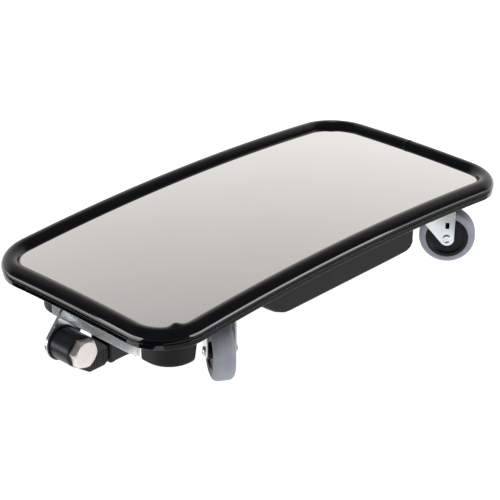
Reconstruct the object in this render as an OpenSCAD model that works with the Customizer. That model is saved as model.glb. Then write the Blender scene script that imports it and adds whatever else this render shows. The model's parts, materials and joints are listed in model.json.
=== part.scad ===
// Wheeled inspection mirror: a convex rectangular mirror in a bulb edge trim,
// on a formed back shell that rolls on four swivel castors. A steel bracket at
// one short end holds a folding knuckle with a socket for a pole.
// Millimetres, +Z up. The floor is z = 0 and the origin is the middle of the
// footprint. +X runs along the mirror, away from the bracket end.

/* [Mirror] */
// Length of the trim's bulb centreline
rim_l = 420.6; // [412:0.2:428]
// Width of the trim's bulb centreline
rim_w = 203; // [199:0.5:208]
// Corner radius of the bulb centreline
rim_corner = 34.6; // [31:0.1:38]
// Radius of the ball that the convex mirror is part of
mirror_r = 2280; // [2100:10:2600]
// Height of the bulb's centre surface above the floor at the middle
rim_h = 72; // [72:0.1:74]
// Thickness of the mirror plate
mirror_t = 2; // [1.6:0.1:2]
// Radius of the trim's bulb
bulb_r = 8.5; // [8:0.1:9]

/* [Shell] */
// Thickness of the shell's flange
flange_t = 2.1; // [1.8:0.1:2.1]
// Wall thickness of the formed tub and lobes
wall_t = 2.5; // [2:0.1:3]
// Height of the tub's underside above the floor
tub_z = 32; // [30:0.5:34]

/* [Castors] */
// Distance between the left and right castor pivots
castor_span = 268; // [264:1:272]
// Distance of the castor pivots from the long centreline
castor_y = 72; // [70:0.5:73]
// Wheel diameter
wheel_d = 50; // [49:0.1:50]
// Tyre width
wheel_w = 18; // [16:0.1:18.4]
// Diameter of the hub inside the tyre
hub_d = 38; // [36:0.5:39]
// Offset of the axle from the castor pivot
trail = 20; // [19:0.2:21]
// Diameter of the axle
axle_d = 6; // [5:0.1:6.2]

/* [Handle] */
// Height of the knuckle's pivot above the floor
pivot_z = 25.4; // [25.4:0.1:26]
// Radius of the knuckle's round end
hub_end_r = 13.6; // [13.2:0.1:14]
// Diameter of the pivot bolt
bolt_d = 14; // [13:0.1:14.2]
// Bore diameter of the pole socket
pole_d = 19; // [17:0.1:19.2]
// Thickness of the bracket's steel
steel_t = 3; // [2.5:0.1:3]

/* [Hidden] */
$fn = 64;

// Half sizes of the bulb centreline
rim_a = rim_l / 2;
rim_b = rim_w / 2;
// Mirror and flange fill the trim's slot, set below the bulb's centre surface
slot_top = 3.15;
slot_gap = 0.15;
mirror_top = slot_top - slot_gap;
mirror_bot = mirror_top - mirror_t;
flange_bot = mirror_bot - flange_t;
slot_bot = -1.2;
lip_bot = -6.4;
slot_out = 3;
// Inner edge of the tongue under the flange, clear of the tub and the lobes
tongue = -2.7;
// The knuckle's pivot stands outside the bracket end of the trim
pivot_x = -rim_a - 7.3;
nose_r = 15.8;
ear_y = 10;
// Moves the mirror's middle so that the origin is the middle of the footprint
shift_x = -(pivot_x - nose_r + rim_a + bulb_r) / 2;
// Lobes of the shell beside the bracket
lobe_mid = -20;
lobe_y = 44;
lobe_z = 32.2;
lobe_in = -171.6;
// The far lobe stands a little further out than the near one
lobe_far_mid = -12.8;
// The lobe wall that faces the castors leans outwards by this much at the top
lobe_lean = 5.2;
lobe_top = 61;
// Castor pivots sit a little towards the plain end
castor_mid = 7;
castor_xs = [castor_mid + castor_span / 2, castor_mid - castor_span / 2,
    castor_mid + castor_span / 2, castor_mid - castor_span / 2];
castor_ys = [-castor_y, -castor_y, castor_y, castor_y];
castor_turns = [-53.3, -123.9, 53.3, 123.9];
// Castor stack, from the pad on the shell down to the wheel
pad_z = 62.6;
plate_t = 2.4;
plate_z = pad_z - plate_t;
boss_z = plate_z - 2;
crown_top = boss_z - 2;
sheet_t = 1.8;
crown_z = crown_top - sheet_t;
wheel_z = wheel_d / 2;
cheek_in = 10.5;
cheek_out = cheek_in + sheet_t;
ball_r = 1.3;
ball_z = (boss_z + crown_top) / 2;
ball_ring = 10.5;
king_r = 3.5;
// Bracket strip: its outer face, ends and heights
strip_x = -rim_a - 4.2;
strip_near = -76;
strip_far = 24.3;
strip_top = 53.7;
strip_bot = 43.8;
leg_in = -188;
screw_x = -197;
screw_ys = [-56, 4];
// Knuckle faces along the bolt
knuckle_near = -12.5;
knuckle_far = 8.95;
head_h = 7.5;
head_af = 22;

// Height of the convex centre surface above the floor
function dome(x, y) =
    rim_h - mirror_r + sqrt(mirror_r * mirror_r - x * x - y * y);

// Angle by which the dome falls outwards at a point of the rim, given its
// outward direction. The trim sits square to the dome's edge, so it turns with it.
function fall(p) = asin((p[0] * cos(p[2]) + p[1] * sin(p[2])) / mirror_r);
function turned_out(s, t) = s[0] * cos(t) + s[1] * sin(t);
function turned_up(s, t) = s[1] * cos(t) - s[0] * sin(t);

// Points round a rectangle with round corners: centre side steps and corner steps
function corner_points(cx, cy, r, a0, n) =
    [for (i = [0 : n]) let (a = a0 + 90 * i / n) [cx + r * cos(a), cy + r * sin(a), a]];
function side_points(p, q, n) =
    [for (i = [1 : n - 1]) [p[0] + (q[0] - p[0]) * i / n, p[1] + (q[1] - p[1]) * i / n, p[2]]];
function rim_path(a, b, r, nc, nl, ns) = let (
    c1 = corner_points(a - r, b - r, r, 0, nc),
    c2 = corner_points(r - a, b - r, r, 90, nc),
    c3 = corner_points(r - a, r - b, r, 180, nc),
    c4 = corner_points(a - r, r - b, r, 270, nc))
    concat(c1, side_points(c1[nc], c2[0], nl), c2, side_points(c2[nc], c3[0], ns),
        c3, side_points(c3[nc], c4[0], nl), c4, side_points(c4[nc], c1[0], ns));

// Trim section, outwards and up from the bulb's centre: bulb, slot and lower lip
function trim_section() = concat(
    [for (i = [0 : 11]) let (a = 159 * i / 11) [bulb_r * cos(a), bulb_r * sin(a)]],
    [[slot_out, slot_top], [slot_out, slot_bot], [tongue, slot_bot], [tongue, slot_bot - 2],
    [2, slot_bot - 3], [3.6, lip_bot], [7.5, lip_bot], [8.2, lip_bot + 0.7],
    [8.2, -1.4], [7.6, -0.7]]);

module rounded_plate(a, b, r, h) {
    linear_extrude(height = h)
        square_round(a, b, r);
}

module square_round(a, b, r) {
    union() {
        square([2 * (a - r), 2 * b], center = true);
        square([2 * a, 2 * (b - r)], center = true);
        for (sx = [-1, 1])
            for (sy = [-1, 1])
                translate([sx * (a - r), sy * (b - r)])
                    circle(r = r);
    }
}

// The space below the dome surface moved down by the given amount
module under_dome(drop) {
    translate([0, 0, rim_h - mirror_r + drop])
        sphere(r = mirror_r, $fn = 200);
}

// A layer that follows the dome between two depths
module dome_layer(top, bottom, edge) {
    difference() {
        intersection() {
            translate([0, 0, rim_h - 30])
                rounded_plate(rim_a + edge, rim_b + edge, rim_corner + edge, 40);
            under_dome(top);
        }
        under_dome(bottom);
    }
}

module at_mirror() {
    translate([shift_x, 0, 0])
        children();
}

module mirror_plate() {
    color([0.8, 0.82, 0.84])
        at_mirror()
            dome_layer(mirror_top, mirror_bot, slot_out - 0.3);
}

module edge_trim() {
    sec = trim_section();
    path = rim_path(rim_a, rim_b, rim_corner, 7, 12, 6);
    ns = len(sec);
    np = len(path);
    pts = [for (p = path) for (s = sec) let (
        t = fall(p), out = turned_out(s, t), up = turned_up(s, t))
        [p[0] + out * cos(p[2]), p[1] + out * sin(p[2]), dome(p[0], p[1]) + up]];
    faces = [for (i = [0 : np - 1]) for (j = [0 : ns - 1]) let (
        i2 = (i + 1) % np, j2 = (j + 1) % ns)
        [i * ns + j, i * ns + j2, i2 * ns + j2, i2 * ns + j]];
    color([0.1, 0.1, 0.11])
        at_mirror()
            polyhedron(points = pts, faces = faces, convexity = 6);
}

// Formed tub outline along the mirror, seen from the long side
module tub_side(grow) {
    polygon([[-98.5 - grow, 68], [-96.5 - grow, 49], [-86.1 - grow, 41.5 - grow],
        [-79 - grow, 36.7 - grow], [-71.5 - grow, tub_z + 1.5 - grow], [-63, tub_z - grow],
        [50, tub_z + 0.5 - grow], [88 + grow, tub_z + 1.4 - grow], [93 + grow, tub_z + 3.4 - grow],
        [95.6 + grow, tub_z + 7], [96 + grow, 68]]);
}

module tub_block(grow) {
    intersection() {
        translate([0, 97 + grow, 0])
            rotate([90, 0, 0])
                linear_extrude(height = 194 + 2 * grow)
                    tub_side(grow);
        translate([0, 0, tub_z - 5])
            linear_extrude(height = 60)
                polygon([[-105, -90 - grow], [-92, -95 - grow], [94, -95 - grow], [96 + grow, -93.8],
                    [96.5 + grow, -91.5], [96.5 + grow, 91.5], [96 + grow, 93.8], [94, 95 + grow],
                    [-92, 95 + grow], [-105, 90 + grow]]);
    }
}

// Plan of a lobe at its widest, with one large round corner
module lobe_plan(grow) {
    wall = lobe_in + lobe_lean + grow;
    union() {
        polygon([[-202 - grow, lobe_y - grow], [wall, lobe_y - grow],
            [wall, lobe_y + 33.5 + grow], [-179, lobe_y + 33.5 + grow],
            [-202 - grow, lobe_y + 10.5]]);
        intersection() {
            translate([-179, lobe_y + 10.5])
                circle(r = 23 + grow);
            translate([-230, lobe_y - grow])
                square([51, 70]);
        }
    }
}

// Lobe beside the bracket: a hollow box whose castor side leans outwards. The two
// lobes stand either side of the bracket's middle.
module lobe(side, grow) {
    translate([0, side > 0 ? lobe_far_mid : lobe_mid, 0])
        scale([1, side, 1])
            intersection() {
                translate([0, 0, lobe_z - grow])
                    linear_extrude(height = 40)
                        lobe_plan(grow);
                translate([0, lobe_y + 60, 0])
                    rotate([90, 0, 0])
                        linear_extrude(height = 90)
                            polygon([[-240, lobe_z - grow - 1], [lobe_in + grow, lobe_z - grow - 1],
                                [lobe_in + grow, lobe_z], [lobe_in + lobe_lean + grow, lobe_top],
                                [lobe_in + lobe_lean + grow, 90], [-240, 90]]);
            }
}

module shell_pads() {
    for (i = [0 : 3])
        translate([castor_xs[i], castor_ys[i], pad_z])
            translate([-21, -21, 0])
                cube([42, 42, 12]);
    for (y = screw_ys)
        translate([screw_x - 9, y - 10, strip_top])
            cube([18, 20, 12]);
}

module castor_holes() {
    for (i = [0 : 3])
        translate([castor_xs[i], castor_ys[i], pad_z - 1])
            for (sx = [-1, 1])
                for (sy = [-1, 1])
                    translate([15 * sx, 15 * sy, 0])
                        cylinder(r = 1.9, h = 3);
}

module back_shell() {
    color([0.16, 0.17, 0.19])
        at_mirror()
            difference() {
                union() {
                    dome_layer(mirror_bot, flange_bot, slot_out - 0.3);
                    intersection() {
                        union() {
                            tub_block(0);
                            lobe(1, 0);
                            lobe(-1, 0);
                            shell_pads();
                        }
                        under_dome(mirror_bot - 0.5);
                    }
                }
                tub_block(-wall_t);
                lobe(1, -wall_t);
                lobe(-1, -wall_t);
                castor_holes();
                for (y = screw_ys)
                    translate([screw_x, y, strip_top - 1])
                        cylinder(r = 2.5, h = 7);
            }
}

// Steel angle under the lip, with an ear that carries the pivot bolt. Its inward
// leg fits between the lobes.
module handle_bracket() {
    color([0.75, 0.76, 0.77])
        at_mirror()
            difference() {
                union() {
                    translate([strip_x, strip_near, strip_bot])
                        cube([steel_t, strip_far - strip_near, strip_top - strip_bot]);
                    translate([strip_x, lobe_mid - lobe_y + 0.5, strip_top - steel_t])
                        cube([leg_in - strip_x, 2 * lobe_y - 1, steel_t]);
                    translate([0, ear_y + steel_t, 0])
                        rotate([90, 0, 0])
                            linear_extrude(height = steel_t)
                                ear_side();
                }
                translate([pivot_x, ear_y - 1, pivot_z])
                    rotate([-90, 0, 0])
                        cylinder(r = bolt_d / 2 + 0.05, h = steel_t + 2);
                for (y = screw_ys)
                    translate([screw_x, y, strip_top - steel_t - 1])
                        cylinder(r = 3.3, h = steel_t + 2);
            }
}

module ear_side() {
    union() {
        translate([pivot_x, pivot_z])
            circle(r = nose_r);
        polygon([[strip_x, strip_top], [leg_in, strip_top], [leg_in, strip_bot],
            [pivot_x + nose_r * cos(-35), pivot_z + nose_r * sin(-35)], [pivot_x, pivot_z],
            [pivot_x + nose_r * cos(152), pivot_z + nose_r * sin(152)],
            [pivot_x + nose_r * cos(140), pivot_z + nose_r * sin(140) + 0.6],
            [strip_x, strip_top - 0.5]]);
    }
}

module bracket_screws() {
    color([0.7, 0.71, 0.72])
        at_mirror()
            for (y = screw_ys)
                translate([screw_x, y, 0]) {
                    translate([0, 0, strip_top - steel_t - 3.5])
                        difference() {
                            cylinder(r = 5.5, h = 3.5);
                            translate([0, 0, -1])
                                cylinder(r = 2.3, h = 3.2, $fn = 6);
                        }
                    translate([0, 0, strip_top - steel_t])
                        cylinder(r = 2.5, h = steel_t + 5.5);
                }
}

// Rotates a side view drawn as (x, z) about the pivot so it runs along the bolt
module along_bolt(y0, y1) {
    translate([pivot_x, y1, pivot_z])
        rotate([90, 0, 0])
            linear_extrude(height = y1 - y0)
                children();
}

arm_drop = -23;
arm_end = 29.4;

module knuckle_side() {
    union() {
        circle(r = hub_end_r);
        polygon([[hub_end_r * cos(234), hub_end_r * sin(234)], [9.1, arm_drop],
            [arm_end - 4.5, arm_drop], [arm_end, arm_drop + 3.5], [arm_end, -7],
            [hub_end_r * cos(52), hub_end_r * sin(52)], [0, 0]]);
    }
}

module pivot_knuckle() {
    color([0.12, 0.12, 0.13])
        at_mirror()
            difference() {
                along_bolt(knuckle_near, knuckle_far)
                    knuckle_side();
                along_bolt(knuckle_near - 1, knuckle_far + 1)
                    circle(r = bolt_d / 2 + 0.06);
                for (i = [0 : 4])
                    translate([pivot_x + 12.8 + 3 * i, knuckle_near - 1, pivot_z + arm_drop + 2])
                        cube([1.2, 1.8, 14]);
                translate([pivot_x + arm_end - 8, socket_y, socket_z])
                    rotate([0, 90, 0])
                        cylinder(r = 6, h = 10);
            }
}

socket_z = pivot_z - 11.2;
socket_y = -2.5;
socket_len = 28;

// Square-sided sleeve that takes the end of a pole
module pole_socket() {
    color([0.11, 0.11, 0.12])
        at_mirror()
            translate([pivot_x + arm_end, socket_y, socket_z])
                difference() {
                    union() {
                        rotate([90, 0, 90])
                            linear_extrude(height = socket_len)
                                square_round(11.6, 11.4, 1.6);
                        translate([1.5, 0, 0])
                            rotate([90, 0, 90])
                                linear_extrude(height = 3.5)
                                    square_round(12, 11.8, 1.8);
                        translate([-7.6, 0, 0])
                            rotate([0, 90, 0])
                                cylinder(r = 6, h = 8);
                    }
                    translate([3, 0, 0])
                        rotate([0, 90, 0])
                            cylinder(r = pole_d / 2 + 0.05, h = socket_len);
                }
}

module hex_prism(af, h) {
    cylinder(r = af / 2 / cos(30), h = h, $fn = 6);
}

module pivot_bolt() {
    color([0.78, 0.76, 0.74])
        at_mirror()
            translate([pivot_x, knuckle_near, pivot_z])
                rotate([-90, 0, 0]) {
                    rotate([0, 0, 13])
                        translate([0, 0, -head_h])
                            intersection() {
                                hex_prism(head_af, head_h);
                                cylinder(r1 = head_af / 2 - 0.3, r2 = head_af / 2 + 12.7, h = head_h);
                            }
                    cylinder(r = bolt_d / 2, h = ear_y + steel_t - knuckle_near);
                }
}

// Ring between the knuckle and the ear. The bolt screws into the ear, flush with
// the ear's outer face.
module pivot_washer() {
    color([0.2, 0.2, 0.21])
        at_mirror()
            along_bolt(knuckle_far + 0.05, ear_y)
                difference() {
                    circle(r = nose_r - 0.8);
                    circle(r = bolt_d / 2 + 0.3);
                }
}

// Moves a castor, drawn at its pivot with the wheel towards +X, to its place
module at_castor(i) {
    at_mirror()
        translate([castor_xs[i - 1], castor_ys[i - 1], 0])
            rotate([0, 0, castor_turns[i - 1]])
                children();
}

module at_plate(i) {
    at_mirror()
        translate([castor_xs[i - 1], castor_ys[i - 1], 0])
            children();
}

module ball_groove() {
    translate([0, 0, ball_z])
        rotate_extrude()
            translate([ball_ring, 0])
                circle(r = ball_r + 0.05, $fn = 24);
}

module castor_plate(i) {
    color([0.74, 0.76, 0.76])
        at_plate(i)
            difference() {
                union() {
                    translate([-20, -20, plate_z])
                        cube([40, 40, plate_t]);
                    translate([0, 0, boss_z])
                        cylinder(r = 13.2, h = 2.2);
                }
                translate([0, 0, boss_z - 1])
                    cylinder(r = king_r, h = 6);
                ball_groove();
                for (sx = [-1, 1])
                    for (sy = [-1, 1])
                        translate([15 * sx, 15 * sy, plate_z - 1])
                            cylinder(r = 2.1, h = 5);
            }
}

module plate_screws(i) {
    color([0.72, 0.73, 0.74])
        at_plate(i)
            for (sx = [-1, 1])
                for (sy = [-1, 1])
                    translate([15 * sx, 15 * sy, 0]) {
                        translate([0, 0, plate_z - 1.3])
                            cylinder(r1 = 3, r2 = 3.8, h = 1.3);
                        translate([0, 0, plate_z])
                            cylinder(r = 1.9, h = plate_t + 2);
                    }
}

module king_pin(i) {
    color([0.74, 0.76, 0.76])
        at_plate(i) {
            translate([0, 0, crown_z - 0.1])
                cylinder(r = king_r, h = pad_z - crown_z + 0.1);
            translate([0, 0, crown_z - 1.9])
                cylinder(r1 = 4.4, r2 = 5.4, h = 1.8);
        }
}

module race_balls(i) {
    color([0.7, 0.7, 0.71])
        at_plate(i)
            for (k = [0 : 11])
                rotate([0, 0, 30 * k])
                    translate([ball_ring, 0, ball_z])
                        sphere(r = ball_r, $fn = 16);
}

// Fork cheek outline: along the trail and up
module cheek_side() {
    difference() {
        union() {
            translate([trail, wheel_z])
                circle(r = 6.5);
            polygon([[trail + 6.5, wheel_z], [trail + 6.9, crown_z - 4], [trail + 5.5, crown_top],
                [-10, crown_top], [-11, crown_z - 3],
                [trail - 5.4, wheel_z - 3.7], [trail, wheel_z]]);
        }
        translate([trail - 1.75, wheel_z + 10.2])
            square([3.5, 6]);
        translate([trail, wheel_z])
            circle(r = axle_d / 2 + 0.05);
    }
}

module fork(i) {
    color([0.76, 0.78, 0.78])
        at_castor(i)
            difference() {
                union() {
                    for (s = [-1, 1])
                        translate([0, s * (cheek_in + cheek_out) / 2 + (cheek_out - cheek_in) / 2, 0])
                            rotate([90, 0, 0])
                                linear_extrude(height = cheek_out - cheek_in)
                                    cheek_side();
                    translate([0, 0, crown_z])
                        intersection() {
                            cylinder(r = 15, h = sheet_t);
                            translate([-15, -cheek_out, -1])
                                cube([28, 2 * cheek_out, 4]);
                        }
                }
                translate([0, 0, crown_z - 1])
                    cylinder(r = king_r + 0.06, h = 4);
                ball_groove();
            }
}

module axle(i) {
    color([0.7, 0.72, 0.72])
        at_castor(i)
            translate([trail, 0, wheel_z])
                rotate([90, 0, 0])
                    difference() {
                        union() {
                            cylinder(r = axle_d / 2, h = 2 * cheek_out + 2, center = true);
                            for (s = [-1, 1])
                                translate([0, 0, s * (cheek_out + 0.85)])
                                    cylinder(r = 3.85, h = 1.7, center = true);
                        }
                        for (s = [-1, 1])
                            translate([0, 0, s * (cheek_out + 1.7)])
                                cylinder(r = 2.2, h = 2, center = true);
                    }
}

module wheel_hub(i) {
    hub_r = hub_d / 2;
    half = wheel_w / 2;
    color([0.1, 0.1, 0.11])
        at_castor(i)
            translate([trail, 0, wheel_z])
                rotate([90, 0, 0])
                    rotate_extrude()
                        polygon([[axle_d / 2 + 0.06, -cheek_in + 0.3], [6.5, -cheek_in + 0.3],
                            [6.5, -half + 2.5], [hub_r - 4, -half + 2], [hub_r - 3, -half + 0.4], [hub_r, -half + 0.4],
                            [hub_r, half - 0.4], [hub_r - 3, half - 0.4], [hub_r - 4, half - 2],
                            [6.5, half - 2.5], [6.5, cheek_in - 0.3], [axle_d / 2 + 0.06, cheek_in - 0.3]]);
}

module tyre(i) {
    hub_r = hub_d / 2;
    half = wheel_w / 2;
    color([0.62, 0.63, 0.66])
        at_castor(i)
            translate([trail, 0, wheel_z])
                rotate([90, 0, 0])
                    rotate_extrude()
                        polygon([[hub_r, -half + 0.3], [wheel_z - 3.6, -half], [wheel_z - 1.2, -half + 1.4],
                            [wheel_z - 0.3, -half + 4], [wheel_z, -2], [wheel_z, 2],
                            [wheel_z - 0.3, half - 4], [wheel_z - 1.2, half - 1.4],
                            [wheel_z - 3.6, half], [hub_r, half - 0.3]]);
}

mirror_plate();
edge_trim();
back_shell();
handle_bracket();
bracket_screws();
pivot_knuckle();
pole_socket();
pivot_bolt();
pivot_washer();
castor_plate(1);  // castor_plate_1
castor_plate(2);  // castor_plate_2
castor_plate(3);  // castor_plate_3
castor_plate(4);  // castor_plate_4
plate_screws(1);  // plate_screws_1
plate_screws(2);  // plate_screws_2
plate_screws(3);  // plate_screws_3
plate_screws(4);  // plate_screws_4
king_pin(1);  // king_pin_1
king_pin(2);  // king_pin_2
king_pin(3);  // king_pin_3
king_pin(4);  // king_pin_4
race_balls(1);  // race_balls_1
race_balls(2);  // race_balls_2
race_balls(3);  // race_balls_3
race_balls(4);  // race_balls_4
fork(1);  // fork_1
fork(2);  // fork_2
fork(3);  // fork_3
fork(4);  // fork_4
axle(1);  // axle_1
axle(2);  // axle_2
axle(3);  // axle_3
axle(4);  // axle_4
wheel_hub(1);  // wheel_hub_1
wheel_hub(2);  // wheel_hub_2
wheel_hub(3);  // wheel_hub_3
wheel_hub(4);  // wheel_hub_4
tyre(1);  // tyre_1
tyre(2);  // tyre_2
tyre(3);  // tyre_3
tyre(4);  // tyre_4
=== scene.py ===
"""Looks of the wheeled inspection mirror: convex mirror, bulb trim, formed shell,
swivel castors and the folding pole knuckle. Metres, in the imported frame."""

import json
from math import asin, atan2, cos, degrees, exp, hypot, pi, radians, sin, sqrt, tan

import bmesh
import bpy
from mathutils import Matrix, Vector


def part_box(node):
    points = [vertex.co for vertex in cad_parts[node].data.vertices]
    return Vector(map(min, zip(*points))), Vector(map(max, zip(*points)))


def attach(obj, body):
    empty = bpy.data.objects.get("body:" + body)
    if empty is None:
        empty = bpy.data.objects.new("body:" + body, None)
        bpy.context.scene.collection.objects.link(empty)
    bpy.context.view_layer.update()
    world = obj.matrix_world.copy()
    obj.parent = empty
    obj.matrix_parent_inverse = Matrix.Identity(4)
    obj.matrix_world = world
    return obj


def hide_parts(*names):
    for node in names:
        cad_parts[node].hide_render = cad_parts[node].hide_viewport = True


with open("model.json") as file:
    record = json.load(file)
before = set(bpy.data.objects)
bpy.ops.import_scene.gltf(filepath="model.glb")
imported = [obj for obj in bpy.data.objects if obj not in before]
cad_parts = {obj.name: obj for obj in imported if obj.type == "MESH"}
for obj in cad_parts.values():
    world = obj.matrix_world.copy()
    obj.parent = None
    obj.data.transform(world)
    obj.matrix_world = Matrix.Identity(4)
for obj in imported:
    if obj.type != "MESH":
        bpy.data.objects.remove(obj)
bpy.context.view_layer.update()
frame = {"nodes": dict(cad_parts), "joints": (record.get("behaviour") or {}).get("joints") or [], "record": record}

MM = 0.001
IMAGE_SIZE = 500
SEGMENTS = 96

# ---------------------------------------------------------------- frame places


def middle(node):
    low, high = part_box(node)
    return (low + high) / 2


def joint(name):
    return next(j for j in frame["joints"] if j["name"] == name)


bulb_r = 8.5 * MM
corner_r = 34.6 * MM
mirror_r = 2.28
mirror_up = 3.0 * MM
mirror_t = 2.0 * MM
plate_edge = 2.7 * MM

trim_low, trim_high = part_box("edge_trim")
centre_x = middle("mirror_plate").x
rim_a = (trim_high.x - trim_low.x) / 2 - bulb_r
rim_b = (trim_high.y - trim_low.y) / 2 - bulb_r
rim_top = trim_high.z - bulb_r + mirror_r - sqrt(mirror_r**2 - rim_b**2)

screw_ys = (-56 * MM, 4 * MM)

pivot = Vector(joint("handle_hinge")["pos_m"])
castor_numbers = [1, 2, 3, 4]


def dome(x, y):
    """Height of the ball-shaped surface that the bulb's centreline lies on."""
    return rim_top - mirror_r + sqrt(mirror_r**2 - (x - centre_x) ** 2 - y**2)


# ---------------------------------------------------------------- mesh helpers


def shade(obj, smooth):
    """Smooth faces with sharp edges above an angle, and even normals over flats."""
    bm = bmesh.new()
    bm.from_mesh(obj.data)
    bmesh.ops.recalc_face_normals(bm, faces=bm.faces)
    limit = radians(smooth)
    for face in bm.faces:
        face.smooth = True
    for edge in bm.edges:
        edge.smooth = len(edge.link_faces) != 2 or edge.calc_face_angle(0) <= limit
    bm.to_mesh(obj.data)
    bm.free()
    even = obj.modifiers.new("even_normals", "WEIGHTED_NORMAL")
    even.keep_sharp = True


def make_object(name, verts, faces, material, smooth=40):
    mesh = bpy.data.meshes.new(name)
    mesh.from_pydata([tuple(v) for v in verts], [], faces)
    obj = bpy.data.objects.new(name, mesh)
    bpy.context.scene.collection.objects.link(obj)
    obj.data.materials.append(material)
    shade(obj, smooth)
    return obj


def loft(rings, wrap=False):
    """Verts and faces of rings with equal counts, each ring a closed loop. The last
    ring either wraps to the first, or both get a cap."""
    count = len(rings[0])
    verts = [v for ring in rings for v in ring]
    faces = []
    steps = len(rings) if wrap else len(rings) - 1
    for i in range(steps):
        a = i * count
        b = ((i + 1) % len(rings)) * count
        for j in range(count):
            k = (j + 1) % count
            faces.append((a + j, a + k, b + k, b + j))
    if not wrap:
        faces.append(tuple(range(count)))
        faces.append(tuple(range((len(rings) - 1) * count, len(rings) * count)))
    return verts, faces


def arc(cx, cy, r, a0, a1, n):
    """Points on an arc, angles in degrees."""
    steps = [radians(a0 + (a1 - a0) * i / n) for i in range(n + 1)]
    return [(cx + r * cos(t), cy + r * sin(t)) for t in steps]


def round_corners(points, radii, n=5):
    """A closed outline with each corner rounded by its own radius."""
    out = []
    count = len(points)
    for i, p in enumerate(points):
        r = radii[i] if isinstance(radii, (list, tuple)) else radii
        p = Vector(p)
        to_prev = (Vector(points[i - 1]) - p).normalized()
        to_next = (Vector(points[(i + 1) % count]) - p).normalized()
        corner = to_prev.angle(to_next)
        if r <= 0 or corner > radians(178):
            out.append(tuple(p))
            continue
        reach = r / tan(corner / 2)
        mid = p + (to_prev + to_next).normalized() * (r / sin(corner / 2))
        start = p + to_prev * reach - mid
        end = p + to_next * reach - mid
        turn = atan2(start.x * end.y - start.y * end.x, start.dot(end))
        for k in range(n + 1):
            a = turn * k / n
            x = start.x * cos(a) - start.y * sin(a)
            y = start.x * sin(a) + start.y * cos(a)
            out.append((mid.x + x, mid.y + y))
    return out


def inset(points, d):
    """The closed outline moved inwards by d, for counter-clockwise points."""
    out = []
    count = len(points)
    for i in range(count):
        p0 = Vector(points[i - 1])
        p1 = Vector(points[i])
        p2 = Vector(points[(i + 1) % count])
        e1 = (p1 - p0).normalized()
        e2 = (p2 - p1).normalized()
        n1 = Vector((-e1.y, e1.x))
        n2 = Vector((-e2.y, e2.x))
        m = n1 + n2
        if m.length < 1e-6:
            m = n1.copy()
        m.normalize()
        out.append(tuple(p1 + m * (d / max(0.35, m.dot(n1)))))
    return out


def area_sign(points):
    total = 0
    for i, p in enumerate(points):
        q = points[(i + 1) % len(points)]
        total += p[0] * q[1] - q[0] * p[1]
    return total


def slab(name, outline, low, high, bevel, place, material, steps=3):
    """An outline made into a plate from low to high with rounded rims. place maps
    (u, v, w) to a point in the frame."""
    if area_sign(outline) < 0:
        outline = outline[::-1]
    levels = []
    for i in range(steps + 1):
        a = pi / 2 * i / steps
        levels.append((bevel * (1 - sin(a)), low + bevel * (1 - cos(a))))
    for i in range(steps + 1):
        a = pi / 2 * i / steps
        levels.append((bevel * (1 - cos(a)), high - bevel * (1 - sin(a))))
    rings = []
    for d, w in levels:
        ring = inset(outline, d)
        rings.append([place(u, v, w) for u, v in ring])
    verts, faces = loft(rings)
    return make_object(name, verts, faces, material, 50)


def revolve(name, profile, place, material, segments=SEGMENTS, smooth=40):
    """A closed profile of (radius, height) turned about an axis."""
    rings = []
    for i in range(segments):
        t = 2 * pi * i / segments
        rings.append([place(r * cos(t), r * sin(t), h) for r, h in profile])
    verts, faces = loft(rings, wrap=True)
    return make_object(name, verts, faces, material, smooth)


def solid_revolve(name, profile, place, material, segments=SEGMENTS, smooth=40):
    """A profile from axis to axis, turned into a solid with end caps."""
    rings = []
    for r, h in profile:
        ring = [2 * pi * i / segments for i in range(segments)]
        rings.append([place(r * cos(t), r * sin(t), h) for t in ring])
    verts, faces = loft(rings)
    return make_object(name, verts, faces, material, smooth)


def rectangle(x, y, half_x, half_y):
    low_x, high_x = x - half_x, x + half_x
    low_y, high_y = y - half_y, y + half_y
    return [(low_x, low_y), (high_x, low_y), (high_x, high_y), (low_x, high_y)]


def plan(u, v, w):
    return Vector((u, v, w))


def in_mm(profile):
    """A profile of (radius, height) written in millimetres, as metres."""
    return [(r * MM, h * MM) for r, h in profile]


# ---------------------------------------------------------------- materials


def nodes_of(name):
    mat = bpy.data.materials.new(name)
    mat.use_nodes = True
    return mat, mat.node_tree, mat.node_tree.nodes["Principled BSDF"]


def link(tree, a, b):
    tree.links.new(a, b)


def coordinates(tree):
    return tree.nodes.new("ShaderNodeTexCoord").outputs["Object"]


def noise(tree, vector, scale, detail=4, rough=0.5):
    node = tree.nodes.new("ShaderNodeTexNoise")
    node.inputs["Scale"].default_value = scale
    node.inputs["Detail"].default_value = detail
    node.inputs["Roughness"].default_value = rough
    link(tree, vector, node.inputs["Vector"])
    return node.outputs["Fac"]


def ramp(tree, fac, stops):
    node = tree.nodes.new("ShaderNodeValToRGB")
    elements = node.color_ramp.elements
    while len(elements) < len(stops):
        elements.new(0.5)
    for element, (pos, colour) in zip(elements, stops):
        element.position = pos
        element.color = (*colour, 1)
    link(tree, fac, node.inputs["Fac"])
    return node.outputs["Color"]


def spread(tree, fac, low, high):
    node = tree.nodes.new("ShaderNodeMapRange")
    node.inputs["From Min"].default_value = 0.3
    node.inputs["From Max"].default_value = 0.7
    node.inputs["To Min"].default_value = low
    node.inputs["To Max"].default_value = high
    link(tree, fac, node.inputs["Value"])
    return node.outputs["Result"]


def bump(tree, height, strength, distance, shader):
    node = tree.nodes.new("ShaderNodeBump")
    node.inputs["Strength"].default_value = strength
    node.inputs["Distance"].default_value = distance
    link(tree, height, node.inputs["Height"])
    link(tree, node.outputs["Normal"], shader.inputs["Normal"])


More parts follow.
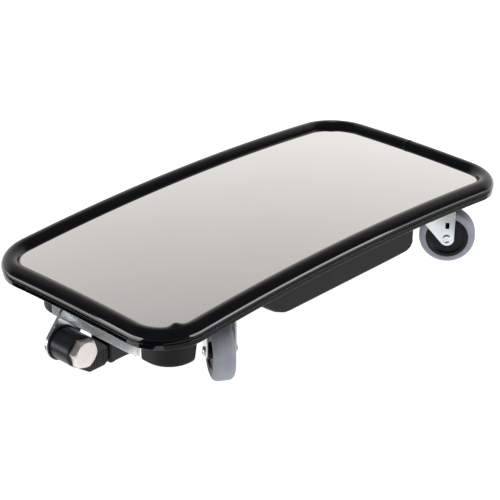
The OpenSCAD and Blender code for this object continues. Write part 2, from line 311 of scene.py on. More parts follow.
def surface(name, dark, light, rough, grain, metal=0.0, ior=1.5,
            bump_strength=0.2, bump_depth=0.0002, cloud=30):
    """A surface with a cloudy colour, uneven roughness and a fine grain."""
    mat, tree, shader = nodes_of(name)
    vector = coordinates(tree)
    cloudy = noise(tree, vector, cloud, 5, 0.6)
    fine = noise(tree, vector, grain, 3, 0.5)
    link(tree, ramp(tree, cloudy, [(0.3, dark), (0.7, light)]), shader.inputs["Base Color"])
    link(tree, spread(tree, fine, *rough), shader.inputs["Roughness"])
    bump(tree, fine, bump_strength, bump_depth, shader)
    shader.inputs["Metallic"].default_value = metal
    shader.inputs["IOR"].default_value = ior
    return mat


def mirror_material():
    """Silvered acrylic: a clean reflection with faint haze and dust."""
    mat, tree, shader = nodes_of("mirror_face")
    vector = coordinates(tree)
    haze = noise(tree, vector, 9, 3, 0.5)
    dust = noise(tree, vector, 900, 2, 0.5)
    colour = ramp(tree, haze, [(0.3, (0.84, 0.825, 0.81)), (0.7, (0.86, 0.85, 0.835))])
    link(tree, colour, shader.inputs["Base Color"])
    link(tree, spread(tree, dust, 0.02, 0.035), shader.inputs["Roughness"])
    shader.inputs["Metallic"].default_value = 1.0
    return mat


mirror_mat = mirror_material()
rubber_mat = surface("trim_rubber", (0.0015, 0.0017, 0.0024), (0.003, 0.0032, 0.0042),
                     (0.04, 0.075), 90, ior=1.48, bump_strength=0.05, cloud=60)
shell_mat = surface("shell_plastic", (0.0035, 0.0038, 0.0054), (0.006, 0.0065, 0.009),
                    (0.46, 0.58), 1400, ior=1.3, bump_strength=0.35, bump_depth=0.0001)
zinc_mat = surface("zinc_plate", (0.62, 0.65, 0.67), (0.68, 0.71, 0.725),
                   (0.2, 0.24), 5000, metal=0.92, bump_strength=0.01, bump_depth=0.00005, cloud=90)
nickel_mat = surface("nickel_plate", (0.66, 0.605, 0.58), (0.75, 0.69, 0.665),
                     (0.3, 0.4), 2400, metal=1.0,
                     bump_strength=0.03, bump_depth=0.00005, cloud=200)
ball_mat = surface("ball_steel", (0.5, 0.5, 0.52), (0.66, 0.66, 0.68), (0.08, 0.16), 800, metal=1.0)
black_mat = surface("moulded_black", (0.0055, 0.006, 0.008), (0.01, 0.011, 0.0145),
                    (0.28, 0.38), 1100, ior=1.36, bump_strength=0.25, bump_depth=0.0001, cloud=80)
hub_mat = surface("hub_plastic", (0.0015, 0.0017, 0.0026), (0.003, 0.0033, 0.0046),
                  (0.32, 0.42), 1100, ior=1.3, bump_strength=0.2, bump_depth=0.0001, cloud=90)
tyre_mat = surface("tyre_grey", (0.23, 0.245, 0.29), (0.26, 0.275, 0.32),
                   (0.5, 0.6), 1300, bump_strength=0.12, bump_depth=0.0001, cloud=150)

# ---------------------------------------------------------------- trim and mirror


def rim_path(a, b, r, corner_steps, long_steps, short_steps):
    """(x, y, angle of the outward normal) round the rim's centreline."""
    corners = [(a - r, b - r, 0), (r - a, b - r, 90), (r - a, r - b, 180), (a - r, r - b, 270)]
    steps = [long_steps, short_steps, long_steps, short_steps]
    out = []
    for i, (cx, cy, a0) in enumerate(corners):
        for k in range(corner_steps + 1):
            t = radians(a0 + 90 * k / corner_steps)
            out.append((cx + r * cos(t), cy + r * sin(t), t))
        nx, ny, _ = corners[(i + 1) % 4]
        t = radians(a0 + 90)
        x0, y0, _ = out[-1]
        x1 = nx + r * cos(t)
        y1 = ny + r * sin(t)
        for k in range(1, steps[i]):
            s = k / steps[i]
            out.append((x0 + (x1 - x0) * s, y0 + (y1 - y0) * s, t))
    return out


def trim_section():
    """Outward and upward offsets of the trim's outline, in metres."""
    bulb = arc(0, 0, 8.498, 0, 159, 36)
    slot = [(3, 3.15), (3, -1.2), (-2.7, -1.2), (-2.7, -3.2), (2, -4.2)]
    lip = round_corners([(3.6, -6.4), (7.5, -6.4), (8.2, -5.7), (8.2, -1.4), (7.5, -0.75)],
                        [0.3, 0.6, 0.6, 0.4, 0.2], 4)
    return [(u * MM, w * MM) for u, w in bulb + slot + lip]


def seam_rings():
    """The butted ends of the strip: two slightly raised ends and a groove between."""
    middle_y = 5 * MM
    half = [(0.15, 0.95), (0.45, 1.03), (1.1, 1.03), (2.2, 1.0)]
    steps = [(-dy, size) for dy, size in reversed(half)] + half
    return [(rim_a, middle_y + dy * MM, 0.0, size) for dy, size in steps]


# Where the bulb puffs: the angle round its corner, and how far inwards and upwards
puffs = ((radians(241), 1.8 * MM, 1.7 * MM), (radians(48), 1.8 * MM, 0.0))
puff_reach = 5 * MM
puff_depth = 4 * MM


def bulge(x, y):
    """How far the bulb's inner side puffs inwards and upwards where it is bent
    round two of the corners."""
    inwards = 0.0
    upwards = 0.0
    for angle, out, up in puffs:
        cx = (rim_a - corner_r) * (1 if cos(angle) > 0 else -1) + corner_r * cos(angle)
        cy = (rim_b - corner_r) * (1 if sin(angle) > 0 else -1) + corner_r * sin(angle)
        distance = hypot(x - cx, y - cy) / puff_reach
        share = exp(-distance * distance)
        inwards += out * share
        upwards += up * share
    return inwards, upwards


def build_trim():
    section = trim_section()
    path = rim_path(rim_a, rim_b, corner_r, 30, 64, 32)
    seam = seam_rings()
    low_y = seam[0][1]
    high_y = seam[-1][1]
    plain = [(x, y, t, 1.0) for x, y, t in path]
    far_end = rim_a - 0.1 * MM
    clear = 1 * MM
    kept = [r for r in plain if r[0] <= far_end or not low_y - clear < r[1] < high_y + clear]
    last = max(k for k, r in enumerate(kept) if r[0] > far_end and r[1] < 0)
    ordered = kept[:last + 1] + seam + kept[last + 1:]
    loops = []
    for x, y, t, size in ordered:
        # The trim sits square to the dome's edge, so its section turns with the fall
        fall = asin((x * cos(t) + y * sin(t)) / mirror_r)
        inwards, upwards = bulge(x, y)
        z = dome(x + centre_x, y)
        loop = []
        for u, w in section:
            u1 = u * min(size, 1.0)
            w1 = w * size
            if u < 0 and w > 0:
                share = min(1, -u / puff_depth)
                u1 -= inwards * share
                w1 += upwards * share
            out = u1 * cos(fall) + w1 * sin(fall)
            up = w1 * cos(fall) - u1 * sin(fall)
            loop.append(Vector((centre_x + x + out * cos(t), y + out * sin(t), z + up)))
        loops.append(loop)
    verts, faces = loft(loops, wrap=True)
    trim = make_object("edge_trim_bulb", verts, faces, rubber_mat, 35)
    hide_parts("edge_trim")
    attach(trim, "mirror_head")


def dome_plate(name, edge, top, bottom, material):
    """A plate that follows the dome, with round corners and the given depths."""
    path = rim_path(rim_a + edge, rim_b + edge, corner_r + edge, 16, 40, 20)
    rings = []
    count = 26
    for i in range(1, count + 1):
        s = i / count
        rings.append([Vector((centre_x + x * s, y * s, dome(centre_x + x * s, y * s) + top))
                      for x, y, t in path])
    rings.append([Vector((centre_x + x, y, dome(centre_x + x, y) + bottom)) for x, y, t in path])
    for i in range(count - 1, 0, -5):
        s = i / count
        rings.append([Vector((centre_x + x * s, y * s, dome(centre_x + x * s, y * s) + bottom))
                      for x, y, t in path])
    verts, faces = loft(rings)
    return make_object(name, verts, faces, material, 40)


def build_mirror():
    mirror = dome_plate("mirror_face", plate_edge, mirror_up, mirror_up - mirror_t, mirror_mat)
    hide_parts("mirror_plate")
    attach(mirror, "mirror_head")


# ---------------------------------------------------------------- back shell

flange_top = 1.0 * MM
flange_bottom = -1.1 * MM
tub_z = 32 * MM
tub_y = 95 * MM
lobe_z = 32.2 * MM
lobe_mids = {-1: -20 * MM, 1: -12.8 * MM}
lobe_in = -171.6 * MM
lobe_lean = 5.2 * MM
lobe_end = -202 * MM
lobe_near = 44 * MM
lobe_far = 77.5 * MM
lobe_round = 23 * MM
pad_face = 62.6 * MM
pad_bevel = 0.25 * MM


def ride_shell(piece):
    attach(piece, "mirror_head")


def tub_side(z):
    """Left and right ends of the tub at a height, measured from the mirror's middle."""
    left = [(32, -63), (33.5, -71.5), (36.7, -79), (41.5, -86.1), (49, -96.5), (68, -98.5)]
    right = [(32, 50), (33.4, 88), (35.4, 93), (39, 95.6), (68, 96)]

    def read(line):
        h = z / MM
        for (z0, x0), (z1, x1) in zip(line, line[1:]):
            if h <= z1:
                return (x0 + (x1 - x0) * max(0, h - z0) / (z1 - z0)) * MM
        return line[-1][1] * MM

    return read(left), read(right)


def build_tub():
    """Formed tub: plan outlines at rising heights, with a soft lower edge."""
    rings = []
    soft = 2.2 * MM
    heights = [32, 32.15, 32.5, 33, 33.5, 34.3, 35.4, 36.7, 38, 39, 40.2, 41.5, 43, 45, 47, 49, 52, 56, 66]
    for h in heights:
        z = h * MM
        left, right = tub_side(z)
        depth = z - tub_z
        pull = soft - sqrt(max(0, soft**2 - (soft - min(depth, soft)) ** 2))
        y = tub_y - pull
        x0 = centre_x + left
        x1 = centre_x + right
        ring = round_corners([(x1, -y), (x1, y), (x0, y), (x0, -y)], [2 * MM, 2 * MM, 4 * MM, 4 * MM], 6)
        rings.append([Vector((px, py, z)) for px, py in ring])
    verts, faces = loft(rings)
    tub = make_object("shell_tub", verts, faces, shell_mat, 30)
    ride_shell(tub)


def lobe_outline(side, grow):
    """Plan of a lobe. It widens upwards on the side that faces the castors."""
    x0 = centre_x + lobe_end
    x1 = centre_x + lobe_in + grow
    points = [(x0, lobe_near), (x1, lobe_near), (x1, lobe_far), (x0, lobe_far)]
    ring = round_corners(points, [4 * MM, 4 * MM, 5 * MM, lobe_round], 10)
    return [(x, lobe_mids[side] + side * y) for x, y in ring]


def build_lobes():
    top = 61 * MM
    fillet = 3 * MM
    turns = [radians(a) for a in range(0, 91, 15)]
    levels = [(fillet * (1 - sin(a)), fillet * (1 - cos(a))) for a in turns]
    levels += [(0, 8 * MM), (0, 14 * MM), (0, top - lobe_z)]
    for side, word in ((-1, "near"), (1, "far")):
        rings = []
        for pull, rise in levels:
            outline = lobe_outline(side, lobe_lean * rise / (top - lobe_z))
            if area_sign(outline) < 0:
                outline = outline[::-1]
            rings.append([Vector((x, y, lobe_z + rise)) for x, y in inset(outline, pull)])
        verts, faces = loft(rings)
        ride_shell(make_object(f"shell_lobe_{word}", verts, faces, shell_mat, 40))


def build_pads():
    """Flat pads under the castor plates and under the bracket's screws."""
    half = 21 * MM
    for i in castor_numbers:
        c = Vector(joint(f"castor_swivel_{i}")["pos_m"])
        outer = dome(c.x + (half if c.x > 0 else -half), c.y + (half if c.y > 0 else -half))
        ring = round_corners(rectangle(c.x, c.y, half, half), 3 * MM, 5)
        top = max(pad_face + 0.6 * MM, outer - 0.5 * MM)
        pad = slab(f"shell_pad_{i}", ring, pad_face, top, pad_bevel, plan, shell_mat, 2)
        ride_shell(pad)
    screw_x = middle("bracket_screws").x
    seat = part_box("handle_bracket")[1].z
    for k, y in enumerate(screw_ys):
        ring = round_corners(rectangle(screw_x, y, 9 * MM, 10 * MM), 2 * MM, 4)
        low = seat + 0.02 * MM
        high = seat + 8 * MM
        pad = slab(f"shell_screw_pad_{k + 1}", ring, low, high, pad_bevel, plan, shell_mat, 2)
        ride_shell(pad)


def build_shell():
    flange = dome_plate("shell_flange", plate_edge, flange_top, flange_bottom, shell_mat)
    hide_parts("back_shell")
    ride_shell(flange)
    build_tub()
    build_lobes()
    build_pads()


# ---------------------------------------------------------------- bracket and knuckle

bracket_low, bracket_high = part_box("handle_bracket")
steel_t = 3 * MM
nose_r = pivot.x - bracket_low.x
ear_y = 10 * MM
strip_top = bracket_high.z
strip_bottom = 43.8 * MM
strip_x = centre_x - rim_a - 4.2 * MM


def build_bracket():
    """Angle strip with a folded leg, and the ear that holds the pivot bolt."""
    leg_in = bracket_high.x
    y0 = bracket_low.y
    y1 = bracket_high.y
    face = [(y0, strip_bottom), (y1, strip_bottom), (y1, strip_top), (y0, strip_top)]
    outline = round_corners(face, [2.2 * MM, 0.8 * MM, 0.6 * MM, 0.6 * MM], 4)
    place = lambda u, v, w: Vector((w, u, v))
    strip = slab("bracket_strip", outline, strip_x, strip_x + steel_t, 0.5 * MM, place, zinc_mat)
    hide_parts("handle_bracket")

    leg_out = strip_x + 1 * MM
    leg_y0 = -63.5 * MM
    leg_y1 = 23.5 * MM
    leg_points = [(leg_out, leg_y0), (leg_in, leg_y0), (leg_in, leg_y1), (leg_out, leg_y1)]
    leg_ring = round_corners(leg_points, [0.2 * MM, 2 * MM, 2 * MM, 0.2 * MM], 4)
    leg_top = strip_top - 0.01 * MM
    leg = slab("bracket_leg", leg_ring, strip_top - steel_t, leg_top, 0.4 * MM, plan, zinc_mat)

    rim = arc(pivot.x, pivot.z, nose_r, 146, 325, 40)
    ear_ring = rim + [(leg_in, strip_bottom), (leg_in, strip_top), (strip_x, strip_top)]
    flat = lambda u, v, w: Vector((u, w, v))
    ear = slab("bracket_ear", ear_ring, ear_y, ear_y + steel_t, 0.45 * MM, flat, zinc_mat)
    for piece in (strip, leg, ear):
        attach(piece, "mirror_head")


def build_bracket_screws():
    screw_x = middle("bracket_screws").x
    top = strip_top - steel_t
    for k, y in enumerate(screw_ys):
        origin = Vector((screw_x, y, top))
        place = lambda u, v, w, o=origin: o + Vector((u, v, -w))
        profile = [(2.2, 0.01), (5.2, 0.01), (5.5, 0.3), (5.5, 2.2), (5.2, 2.9), (4.4, 3.4), (3.4, 3.5),
                   (2.3, 3.45), (2.2, 1.6)]
        head = revolve(f"bracket_screw_{k + 1}", in_mm(profile), place, zinc_mat)
        if k == 0:
            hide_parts("bracket_screws")
        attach(head, "mirror_head")
        bottom = [(0.6, 1.6), (2.25, 1.6), (2.25, 2.2), (0.6, 2.2)]
        floor = revolve(f"bracket_screw_floor_{k + 1}", in_mm(bottom), place, zinc_mat)
        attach(floor, "mirror_head")


def hex_radius(angle, flats):
    step = (angle + pi / 6) % (pi / 3) - pi / 6
    return flats / 2 / cos(step)


def build_bolt():
    """Hexagon head with the usual chamfer circle, and the plain shank."""
    flats = 22 * MM
    height = 7.5 * MM
    face_r = flats / 2 - 0.5 * MM
    slope = tan(radians(60))
    turn = radians(17)
    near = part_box("pivot_knuckle")[0].y
    origin = Vector((pivot.x, near, pivot.z))
    count = 144
    angles = [2 * pi * i / count for i in range(count)]

    def ring(radius_of, depth_of):
        out = []
        for t in angles:
            r = radius_of(t)
            out.append(origin + Vector((r * cos(t + turn), -height + depth_of(t), r * sin(t + turn))))
        return out

    edge = lambda t: hex_radius(t, flats)
    cut = lambda t: (edge(t) - face_r) / slope
    rings = [ring(lambda t: face_r * 0.5, lambda t: 0),
             ring(lambda t: face_r, lambda t: 0),
             ring(lambda t: face_r + (edge(t) - face_r) * 0.5, lambda t: cut(t) * 0.5 + 0.03 * MM),
             ring(edge, lambda t: cut(t) + 0.1 * MM),
             ring(edge, lambda t: height - 0.5 * MM),
             ring(lambda t: edge(t) - 0.3 * MM, lambda t: height - 0.05 * MM)]
    verts, faces = loft(rings)
    head = make_object("pivot_bolt_head", verts, faces, nickel_mat, 25)
    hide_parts("pivot_bolt")
    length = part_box("pivot_bolt")[1].y - near
    place = lambda u, v, w: origin + Vector((u, w, v))
    shank_r = 7 * MM
    thread = [(shank_r, -0.2 * MM), (shank_r, length - 0.8 * MM), (shank_r - 0.8 * MM, length)]
    shank = solid_revolve("pivot_bolt_shank", thread, place, nickel_mat, 64)
    for piece in (head, shank):
        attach(piece, "mirror_head")


def build_washer():
    """Dark ring between the knuckle and the ear."""
    low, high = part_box("pivot_washer")
    origin = Vector((pivot.x, 0, pivot.z))
    place = lambda u, v, w: origin + Vector((u, w, v))
    r = (high.z - low.z) / 2
    hole_r = 7.3 * MM
    soft = 0.2 * MM
    profile = [(hole_r, low.y), (r - soft, low.y), (r, low.y + soft), (r, high.y - soft), (r - soft, high.y),
               (hole_r, high.y)]
    washer = revolve("pivot_ring", profile, place, black_mat)
    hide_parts("pivot_washer")
    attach(washer, "mirror_head")


hub_end = 13.6 * MM
arm_drop = -23 * MM
arm_end = 29.4 * MM
arm_top = -7 * MM


def build_knuckle():
    """Round end and folded arm, with ribs and a boss on the bolt head's side."""
    low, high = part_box("pivot_knuckle")
    ring = arc(0, 0, hub_end, 52, 234, 40)
    ring += [(9.1 * MM, arm_drop), (arm_end - 4.5 * MM, arm_drop), (arm_end - 1.2 * MM, arm_drop + 2.4 * MM),
             (arm_end, arm_drop + 4 * MM), (arm_end, arm_top)]
    place = lambda u, v, w: Vector((pivot.x + u, w, pivot.z + v))
    body = slab("knuckle_body", ring, low.y + 0.5 * MM, high.y, 0.7 * MM, place, black_mat, 4)
    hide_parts("pivot_knuckle")
    pieces = [body]
    rib_w = 1.4 * MM
    rib_bottom = arm_drop + 2.5 * MM
    rib_top = arm_top - 2 * MM
    for i in range(6):
        x0 = (14 + 2.5 * i) * MM
        x1 = x0 + rib_w
        bar = round_corners([(x0, rib_bottom), (x1, rib_bottom), (x1, rib_top), (x0, rib_top)], 0.5 * MM, 3)
        rib = slab(f"knuckle_rib_{i + 1}", bar, low.y, low.y + 1 * MM, 0.3 * MM, place, black_mat)
        pieces.append(rib)
    disc = arc(0, 0, 13 * MM, 0, 355, 71)
    pieces.append(slab("knuckle_boss", disc, low.y, low.y + 1 * MM, 0.2 * MM, place, black_mat))
    for piece in pieces:
        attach(piece, "handle_knuckle")


def square_ring(half_u, half_v, r, count):
    """Rounded square sampled at even angles, so that it can loft to a circle. Each
    radius is found by halving."""
    out = []
    for i in range(count):
        t = 2 * pi * (i + 0.5) / count
        c = cos(t)
        s = sin(t)
        low = 0.0
        high = 2 * (half_u + half_v)
        for _ in range(40):
            m = (low + high) / 2
            du = max(0, abs(m * c) - (half_u - r))
            dv = max(0, abs(m * s) - (half_v - r))
            if hypot(du, dv) < r:
                low = m
            else:
                high = m
        out.append((low * c, low * s))
    return out


def build_socket():
    low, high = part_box("pole_socket")
    mount = frame["record"]["mounts"][0]
    axis = Vector(mount["pos_m"])
    start = pivot.x + arm_end
    end = high.x
    count = 96
    bore_r = mount["dims"]["r_mm"] * MM
    half_u = 11.6 * MM
    half_v = 11.4 * MM
    circle = [(cos(2 * pi * (i + 0.5) / count), sin(2 * pi * (i + 0.5) / count)) for i in range(count)]
    collar = 0.38
    stations = [(start + 0.01 * MM, -1.0), (start + 0.5 * MM, -0.1), (start + 1.5 * MM, 0),
                (start + 1.6 * MM, collar), (start + 4.9 * MM, collar), (start + 5 * MM, 0),
                (end - 0.6 * MM, 0), (end - 0.15 * MM, -0.2), (end, -0.6)]
    rings = []
    for x, grow in stations:
        g = grow * MM
        ring = square_ring(half_u + g, half_v + g, max(0.4 * MM, 1.6 * MM + g), count)
        rings.append([Vector((x, axis.y + u, axis.z + v)) for u, v in ring])
    for x, r in ((end, bore_r + 0.6 * MM), (end - 0.6 * MM, bore_r), (start + 3 * MM, bore_r)):
        rings.append([Vector((x, axis.y + r * c, axis.z + r * s)) for c, s in circle])
    verts, faces = loft(rings)
    socket = make_object("pole_socket_sleeve", verts, faces, black_mat, 35)
    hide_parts("pole_socket")
    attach(socket, "handle_knuckle")


# ---------------------------------------------------------------- castors

trail = 20 * MM
wheel_r = 25 * MM
cheek_in = 10.5 * MM
sheet_t = 1.8 * MM
cheek_out = cheek_in + sheet_t
plate_z = 60.2 * MM
boss_z = plate_z - 2 * MM
crown_top = boss_z - 2 * MM
crown_z = crown_top - sheet_t
screw_reach = 15 * MM


def castor_place(i):
    """The castor's own (along, across, up) turned and moved to its pivot."""
    c = Vector(joint(f"castor_swivel_{i}")["pos_m"])
    wheel = Vector(joint(f"wheel_spin_{i}")["pos_m"])
    turn = atan2(wheel.y - c.y, wheel.x - c.x)

    def place(u, v, w):
        return Vector((c.x + u * cos(turn) - v * sin(turn), c.y + u * sin(turn) + v * cos(turn), w))

    return place, c


def wheel_place(i):
    place, _ = castor_place(i)
    return lambda u, v, w: place(trail + u, w, wheel_r + v)


def cheek_outline():
    a = trail
    eye = arc(a, wheel_r, 6.5 * MM, 225, 360, 16)
    top = [(a + 6.9 * MM, crown_z - 4 * MM), (a + 5.6 * MM, crown_top), (-10 * MM, crown_top),
           (-11 * MM, crown_z - 3 * MM)]
    return eye + top


def build_fork(i):
    """Two slotted cheeks under a crown sheet."""
    place, _ = castor_place(i)
    pieces = []
    outline = cheek_outline()
    slot_ring = round_corners(rectangle(trail, wheel_r + 13.2 * MM, 1.75 * MM, 3 * MM), 0.4 * MM, 3)
    for s, word in ((-1, "a"), (1, "b")):
        side = lambda u, v, w, s=s: place(u, s * w, v)
        cheek = slab(f"fork_{i}_cheek_{word}", outline, cheek_in, cheek_out, 0.3 * MM, side, zinc_mat, 2)
        low = cheek_in - 2 * MM
        high = cheek_out + 2 * MM
        cutter = slab("slot_cutter", slot_ring, low, high, 0.01 * MM, side, zinc_mat, 1)
        cut_out(cheek, cutter)
        pieces.append(cheek)
    crown_r = 15 * MM
    edge = cheek_out - 0.05 * MM
    half_turn = degrees(asin(edge / crown_r))
    side_x = sqrt(crown_r**2 - edge**2)
    cut_x = 13 * MM
    cut_y = sqrt(crown_r**2 - cut_x**2)
    ring = [(side_x, edge)] + arc(0, 0, crown_r, 180 - half_turn, 180 + half_turn, 20)
    ring += [(side_x, -edge), (cut_x, -cut_y), (cut_x, cut_y)]
    top = crown_top + 0.02 * MM
    crown = slab(f"fork_{i}_crown", ring, crown_z, top, 0.4 * MM, place, zinc_mat, 3)
    pieces.append(crown)
    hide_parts(f"fork_{i}")
    for piece in pieces:
        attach(piece, f"castor_{i}")


def cut_out(obj, cutter):
    """Cuts one made mesh from another and shades the result afresh."""
    obj.modifiers.clear()
    cutter.modifiers.clear()
    cut = obj.modifiers.new("slot", "BOOLEAN")
    cut.operation = "DIFFERENCE"
    cut.solver = "EXACT"
    cut.object = cutter
    graph = bpy.context.evaluated_depsgraph_get()
    mesh = bpy.data.meshes.new_from_object(obj.evaluated_get(graph))
    obj.modifiers.clear()
    obj.data = mesh
    bpy.data.objects.remove(cutter)
    shade(obj, 50)


def build_axle(i):
    """Shaft between the cheeks with a hollow rivet end on each side."""
    place = wheel_place(i)
    end = cheek_out + 1.7 * MM
    for s, word in ((-1, "a"), (1, "b")):
        profile = [(2.2, -0.9), (2.2, -0.3), (2.6, 0), (3.4, 0), (3.85, -0.45), (3.85, -1.3), (3.6, -1.65),
                   (0.5, -1.65), (0.5, -0.9)]
        ring = [(r * MM, s * (end + h * MM)) for r, h in profile]
        rivet = revolve(f"axle_{i}_rivet_{word}", ring, place, zinc_mat, 64)
        if s < 0:
            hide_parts(f"axle_{i}")
        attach(rivet, f"castor_{i}")
    bar = [(3 * MM, -cheek_out - 0.2 * MM), (3 * MM, cheek_out + 0.2 * MM)]
    shaft = solid_revolve(f"axle_{i}_shaft", bar, place, zinc_mat, 48)
    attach(shaft, f"castor_{i}")


def build_wheel(i):
    """Recessed plastic hub in a grey tyre with round shoulders and mould lines."""
    place = wheel_place(i)
    boss = cheek_in / MM - 0.3
    side = [(3.1, boss), (6.2, boss), (6.5, boss - 0.3), (6.7, 7.1), (7.1, 6.6), (14.4, 6.9),
            (15.2, 7.4), (15.8, 8.4), (16.4, 8.65), (18.7, 8.6), (19, 8.4)]
    profile = in_mm([(r, -h) for r, h in side] + side[::-1])
    hub = revolve(f"wheel_{i}_hub", profile, place, hub_mat)
    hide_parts(f"wheel_hub_{i}")
    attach(hub, f"wheel_{i}")
    shoulder = arc(20.3, 4.3, 4.7, 88, 6, 14)
    seat = [(19, 8.7), (19.3, 8.95), (19.8, 9.0)]
    tread = [(24.99, 2.5), (24.99, 0.5), (24.85, 0.15)]
    half_side = seat + shoulder + tread
    full = half_side + [(r, -h) for r, h in reversed(half_side)]
    tyre = revolve(f"wheel_{i}_tyre", in_mm(full), place, tyre_mat, 144)
    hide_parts(f"tyre_{i}")
    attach(tyre, f"wheel_{i}")


def build_plate(i):
    """Fixing plate with its race ring, king pin and four screws."""
    _, c = castor_place(i)
    half = 20 * MM
    ring = round_corners(rectangle(c.x, c.y, half, half), 3.5 * MM, 6)
    plate = slab(f"castor_{i}_plate", ring, plate_z, pad_face - 0.01 * MM, 0.35 * MM, plan, zinc_mat)
    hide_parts(f"castor_plate_{i}")
    up = lambda u, v, w: Vector((c.x + u, c.y + v, w))
    low = boss_z / MM
    high = plate_z / MM + 0.1
    profile = [(3.6, low), (9.0, low), (9.3, low + 0.6), (11.7, low + 0.6), (12.0, low), (12.9, low),
               (13.2, low + 0.3), (13.2, high), (3.6, high)]
    boss = revolve(f"castor_{i}_race", in_mm(profile), up, zinc_mat)
    neck = crown_z / MM
    pin = [(4.2, neck - 1.9), (4.9, neck - 1.6), (5.3, neck - 0.8), (5.3, neck - 0.1), (3.5, neck - 0.05),
           (3.5, pad_face / MM - 0.1)]
    king = solid_revolve(f"castor_{i}_king_pin", in_mm(pin), up, zinc_mat, 64)
    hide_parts(f"king_pin_{i}")
    pieces = [plate, boss, king]
    head = in_mm([(3.7, -0.02), (3.75, -0.35), (3.3, -0.95), (2.2, -1.25), (1.2, -1.3), (1.0, -0.7)])
    for k, (x, y) in enumerate(rectangle(c.x, c.y, screw_reach, screw_reach)):
        spot = lambda u, v, w, x=x, y=y: Vector((x + u, y + v, plate_z + w))
        screw = solid_revolve(f"castor_{i}_screw_{k + 1}", head, spot, zinc_mat, 48)
        if k == 0:
            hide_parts(f"plate_screws_{i}")
        pieces.append(screw)
    for piece in pieces:
        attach(piece, "mirror_head")


def dress_balls():
    """The race balls keep their own meshes and only get a material."""
    for i in castor_numbers:
        node = frame["nodes"][f"race_balls_{i}"]
        node.data.materials.clear()
        node.data.materials.append(ball_mat)


# ---------------------------------------------------------------- studio

AZIMUTH = radians(-46.130)
ELEVATION = radians(26.467)
FOCAL_PIXELS = 1727.14
CAMERA = Vector((-0.97171, -0.92999, 0.70493))


def build_camera():
    data = bpy.data.cameras.new("camera")
    data.sensor_width = 36
    data.lens = FOCAL_PIXELS / IMAGE_SIZE * 36
    data.clip_start = 0.05
    camera = bpy.data.objects.new("camera", data)
    bpy.context.scene.collection.objects.link(camera)
    back = Vector((sin(AZIMUTH) * cos(ELEVATION), -cos(AZIMUTH) * cos(ELEVATION), sin(ELEVATION)))
    right = Vector((cos(AZIMUTH), sin(AZIMUTH), 0))
    up = back.cross(right)
    camera.matrix_world = Matrix.Translation(CAMERA) @ Matrix((right, up, back)).transposed().to_4x4()
    bpy.context.scene.camera = camera


def area_light(name, place, target, size, power, glossy):
    """A soft panel. A glossy one shows in reflections only, the other kind never does."""
    data = bpy.data.lights.new(name, "AREA")
    data.shape = "RECTANGLE"
    data.size, data.size_y = size
    data.energy = power
    light = bpy.data.objects.new(name, data)
    bpy.context.scene.collection.objects.link(light)
    light.location = place
    light.rotation_mode = "QUATERNION"
    light.rotation_quaternion = (Vector(target) - Vector(place)).to_track_quat("-Z", "Y")
    light.visible_camera = False
    light.visible_glossy = glossy
    light.visible_diffuse = not glossy


def build_floor():
    mat, tree, shader = nodes_of("floor_white")
    vector = coordinates(tree)
    colour = ramp(tree, noise(tree, vector, 3, 2), [(0.3, (0.44,) * 3), (0.7, (0.46,) * 3)])
    link(tree, colour, shader.inputs["Base Color"])
    shader.inputs["Roughness"].default_value = 0.8
    shader.inputs["Specular IOR Level"].default_value = 0.1
    shader.inputs["Emission Color"].default_value = (1, 1, 1, 1)
    shader.inputs["Emission Strength"].default_value = 1.0
    size = 12.0
    verts = [(-size, -size, 0), (size, -size, 0), (size, size, 0), (-size, size, 0)]
    floor = make_object("floor", verts, [(0, 1, 2, 3)], mat)
    floor.location.z = -0.02 * MM


# Outlines on the floor, with how brightly each one glows
flags = [
    ([(-1.9, -1.9), (-0.12, -1.9), (-0.12, -0.2), (-0.265, -0.2), (-0.265, -0.06), (-1.9, -0.06)], 0.0),
    ([(-0.26, -0.33), (0.42, -0.33), (0.42, -0.14), (-0.26, -0.14)], 0.45),
    ([(-0.287, -0.01), (-0.25, -0.01), (-0.25, 0.32), (-0.287, 0.32)], 0.0),
]


def build_flags():
    """Dark cards on the floor that only reflections see. They keep the near corner,
    the lip, the shell's side and the bracket from mirroring the white floor."""
    for k, (outline, glow) in enumerate(flags):
        mat, tree, shader = nodes_of(f"flag_dark_{k + 1}")
        colour = ramp(tree, noise(tree, coordinates(tree), 4, 2), [(0.3, (0.004,) * 3), (0.7, (0.006,) * 3)])
        link(tree, colour, shader.inputs["Base Color"])
        shader.inputs["Specular IOR Level"].default_value = 0.0
        shader.inputs["Emission Color"].default_value = (1, 1, 1, 1)
        shader.inputs["Emission Strength"].default_value = glow
        verts = [(x, y, 0) for x, y in outline]
        flag = make_object(f"flag_{k + 1}", verts, [tuple(range(len(verts)))], mat)
        flag.location.z = (1 + 0.1 * k) * MM
        flag.visible_camera = False
        flag.visible_diffuse = False
        flag.visible_shadow = False
        flag.visible_transmission = False


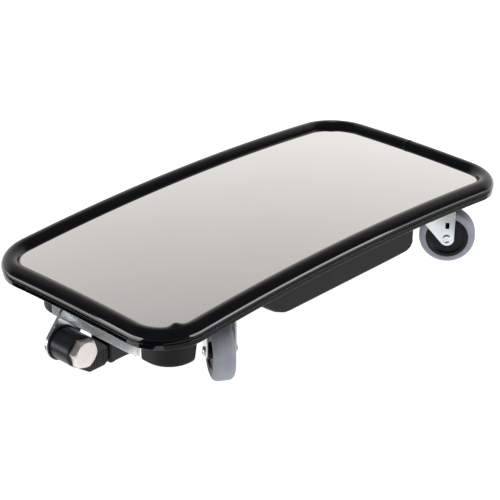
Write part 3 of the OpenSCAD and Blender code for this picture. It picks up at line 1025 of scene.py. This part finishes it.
def build_world():
    """A pale backdrop behind the object that fades upwards to a dark ceiling."""
    world = bpy.data.worlds.new("studio")
    bpy.context.scene.world = world
    world.use_nodes = True
    tree = world.node_tree
    background = tree.nodes["Background"]
    coord = tree.nodes.new("ShaderNodeTexCoord")
    split = tree.nodes.new("ShaderNodeSeparateXYZ")
    link(tree, coord.outputs["Generated"], split.inputs["Vector"])
    facing = tree.nodes.new("ShaderNodeVectorMath")
    facing.operation = "DOT_PRODUCT"
    facing.inputs[1].default_value = (0.707, 0.707, 0)
    link(tree, coord.outputs["Generated"], facing.inputs[0])
    side = tree.nodes.new("ShaderNodeMapRange")
    side.interpolation_type = "SMOOTHSTEP"
    side.inputs["From Min"].default_value = 0.1
    side.inputs["From Max"].default_value = 0.6
    link(tree, facing.outputs["Value"], side.inputs["Value"])
    tall = ramp(tree, split.outputs["Z"], [(0.0, (1.0, 0.985, 0.965)), (0.27, (0.93, 0.915, 0.895)),
                                          (0.6, (0.55, 0.54, 0.525)), (0.82, (0.12, 0.12, 0.12))])
    mix = tree.nodes.new("ShaderNodeMix")
    mix.data_type = "RGBA"
    link(tree, side.outputs["Result"], mix.inputs["Factor"])
    mix.inputs["A"].default_value = (0.1, 0.1, 0.105, 1)
    link(tree, tall, mix.inputs["B"])
    link(tree, mix.outputs["Result"], background.inputs["Color"])
    background.inputs["Strength"].default_value = 1.0


# Name, place, target, size and power in watts
soft_lights = [
    ("overhead", (0, 0, 1.6), (0, 0, 0), (2.4, 2.4), 34),
    ("front_fill", (-0.9, -1.3, 0.5), (0, 0, 0.03), (1.4, 0.8), 5),
]
reflected_cards = [
    ("right_card", (0.415, -1.02, 0.124), (0.415, 0, 0.124), (1.13, 0.24), 6),
    ("right_card_low", (1.24, -1.02, 0.095), (1.24, 0, 0.095), (0.52, 0.06), 0.3),
    ("right_floor_card", (0.34, -0.72, 0.004), (0.34, -0.72, 1), (0.92, 0.46), 5.5),
    ("left_card", (-1.0, 0.28, 0.089), (0, 0.28, 0.089), (0.76, 0.17), 3.2),
    ("left_floor_card", (-0.66, 0.28, 0.004), (-0.66, 0.28, 1), (0.6, 0.7), 4.4),
]


def build_studio():
    build_world()
    build_floor()
    build_flags()
    for name, place, target, size, power in soft_lights:
        area_light(name, place, target, size, power, False)
    for name, place, target, size, power in reflected_cards:
        area_light(name, place, target, size, power, True)
    scene = bpy.context.scene
    scene.view_settings.view_transform = "Standard"
    scene.view_settings.look = "None"


# ---------------------------------------------------------------- build

build_camera()
build_studio()
build_trim()
build_mirror()
build_shell()
build_bracket()
build_bracket_screws()
build_bolt()
build_washer()
build_knuckle()
build_socket()
for number in castor_numbers:
    build_plate(number)
    build_fork(number)
    build_axle(number)
    build_wheel(number)
dress_balls()
